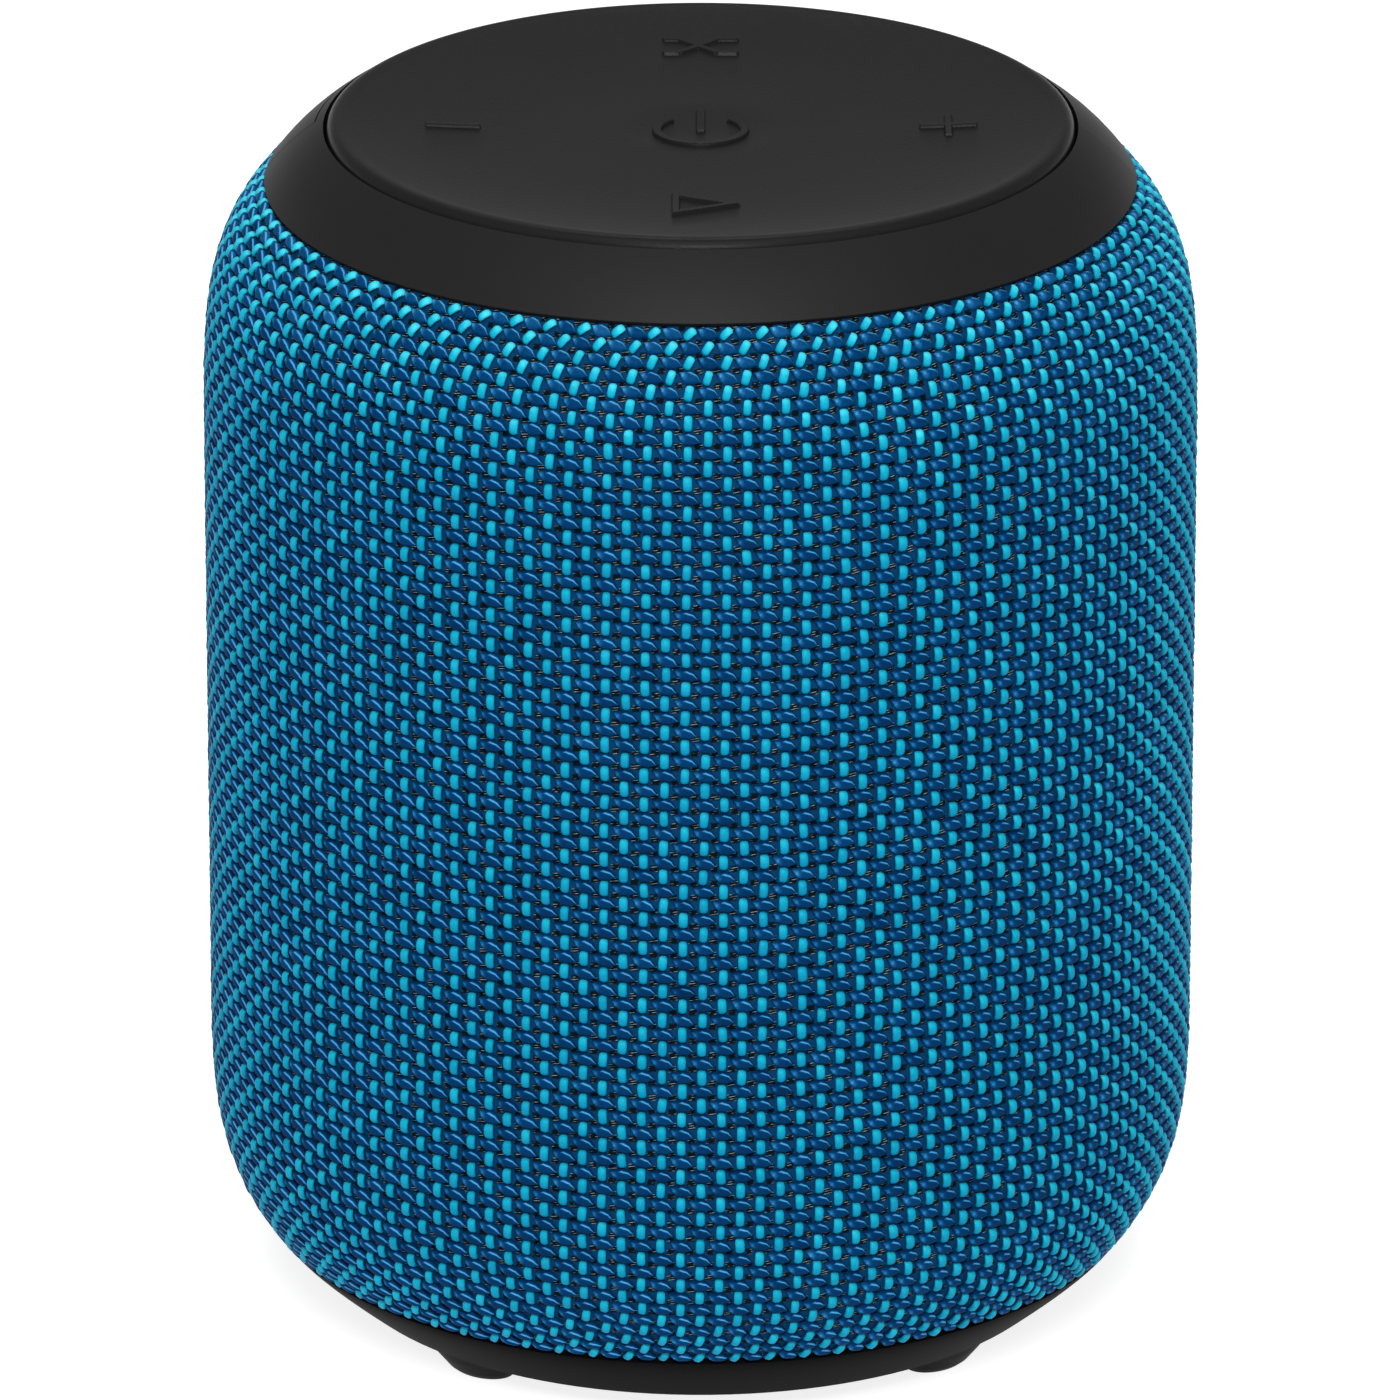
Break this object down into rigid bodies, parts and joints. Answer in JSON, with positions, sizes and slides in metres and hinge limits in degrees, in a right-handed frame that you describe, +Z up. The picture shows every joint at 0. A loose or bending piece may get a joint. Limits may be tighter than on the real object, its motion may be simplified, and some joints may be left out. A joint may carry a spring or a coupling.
{
  "type": "portable speaker",
  "caption": "Barrel-shaped portable speaker: woven sleeve, dished silicone keypad in a sloping bezel, flush cover over its sockets, footed base with a passive radiator.",
  "frame": {"origin": "on the floor under the centre of the body, at the height the feet stand on", "axes": "+Z up through the keypad; -Y is the front, where the play key is; +X is the side of the volume-up key"},
  "size_m": [0.08, 0.08, 0.1006],
  "materials": {
    "woven_fabric": "coarse plain weave of bright blue warp floats over navy twisted weft",
    "keypad_silicone": "satin dark grey silicone",
    "bezel_plastic": "smooth black soft-touch",
    "cover_rubber": "smooth black soft-touch",
    "base_plastic": "satin dark grey",
    "foot_rubber": "satin dark grey",
    "grille_plastic": "black moulded",
    "inner_plastic": "black moulded",
    "socket_plastic": "black moulded",
    "board_laminate": "green solder mask",
    "component_plastic": "moulded black packages",
    "steel_can": "tinned sheet",
    "stem_plastic": "black moulded",
    "screw_steel": "zinc plated",
    "basket_steel": "black painted pressing",
    "plated_steel": "zinc plated",
    "magnet_ferrite": "sintered dark grey",
    "contact_metal": "gold flashed",
    "coil_wire": "enamelled copper",
    "cell_can": "blue wrapped can",
    "lead_insulation": "coloured insulation",
    "cone_paper": "black pulp",
    "surround_rubber": "matte rubber",
    "spider_cloth": "resin stiffened cloth",
    "radiator_metal": "black anodised"
  },
  "bodies": {
    "housing": {"aux_jack": "socket_plastic", "base_cup": "base_plastic", "base_feet": "foot_rubber", "base_screws": "screw_steel", "battery_cell": "cell_can", "battery_guard": "contact_metal", "battery_holder": "inner_plastic", "battery_leads": "lead_insulation", "board_components": "component_plastic", "board_screws": "screw_steel", "board_sockets": "socket_plastic", "button_board": "board_laminate", "cabinet_lower": "inner_plastic", "cabinet_screws": "screw_steel", "cabinet_seal": "surround_rubber", "cabinet_upper": "inner_plastic", "chassis_screws": "screw_steel", "driver_basket": "basket_steel", "driver_gasket": "surround_rubber", "driver_leads": "lead_insulation", "driver_magnet": "magnet_ferrite", "driver_screws": "screw_steel", "driver_spider": "spider_cloth", "driver_surround": "surround_rubber", "driver_terminals": "inner_plastic", "driver_top_plate": "plated_steel", "driver_yoke": "plated_steel", "fabric_sleeve": "woven_fabric", "grille_tube": "grille_plastic", "main_board": "board_laminate", "pad_carrier": "inner_plastic", "port_board": "board_laminate", "radiator_frame": "inner_plastic", "radiator_surround": "surround_rubber", "ribbon_leads": "lead_insulation", "sound_diffuser": "inner_plastic", "tact_switches": "socket_plastic", "top_bezel": "bezel_plastic", "top_chassis": "inner_plastic", "top_pad": "keypad_silicone", "usb_contacts": "contact_metal", "usb_shell": "steel_can", "wire_grommet": "surround_rubber", "wireless_module": "steel_can"},
    "power_key": {"key_power": "keypad_silicone", "switch_stem_power": "stem_plastic"},
    "play_key": {"key_play": "keypad_silicone", "switch_stem_play": "stem_plastic"},
    "volume_down_key": {"key_volume_down": "keypad_silicone", "switch_stem_volume_down": "stem_plastic"},
    "volume_up_key": {"key_volume_up": "keypad_silicone", "switch_stem_volume_up": "stem_plastic"},
    "pairing_key": {"key_pairing": "keypad_silicone", "switch_stem_pairing": "stem_plastic"},
    "port_flap": {"port_cover": "cover_rubber"},
    "cone": {"driver_cone": "cone_paper", "driver_dust_cap": "cone_paper", "driver_voice_coil": "coil_wire"},
    "radiator": {"radiator_plate": "radiator_metal", "radiator_weight": "plated_steel"}
  },
  "joints": [
    {"name": "power_press", "type": "slide", "parent": "housing", "child": "power_key", "axis": [0, 0, -1], "range_m": [0, 0.00035], "stiffness_N_per_m": 4000},
    {"name": "play_press", "type": "slide", "parent": "housing", "child": "play_key", "axis": [0, 0, -1], "range_m": [0, 0.00035], "stiffness_N_per_m": 4000},
    {"name": "volume_down_press", "type": "slide", "parent": "housing", "child": "volume_down_key", "axis": [0, 0, -1], "range_m": [0, 0.00035], "stiffness_N_per_m": 4000},
    {"name": "volume_up_press", "type": "slide", "parent": "housing", "child": "volume_up_key", "axis": [0, 0, -1], "range_m": [0, 0.00035], "stiffness_N_per_m": 4000},
    {"name": "pairing_press", "type": "slide", "parent": "housing", "child": "pairing_key", "axis": [0, 0, -1], "range_m": [0, 0.00035], "stiffness_N_per_m": 4000},
    {"name": "port_flap_hinge", "type": "hinge", "parent": "housing", "child": "port_flap", "pos_m": [-0.02376, 0.02295, 0.09762], "axis": [-0.51, 0.4925, -0.7052], "range_deg": [0, 100]},
    {"name": "cone_stroke", "type": "slide", "parent": "housing", "child": "cone", "axis": [0, 0, 1], "range_m": [-0.002, 0.002], "stiffness_N_per_m": 2000, "deforming": ["driver_surround", "driver_spider"]},
    {"name": "radiator_stroke", "type": "slide", "parent": "housing", "child": "radiator", "axis": [0, 0, 1], "range_m": [-0.0015, 0.0015], "stiffness_N_per_m": 1000, "deforming": ["radiator_surround"]}
  ]
}
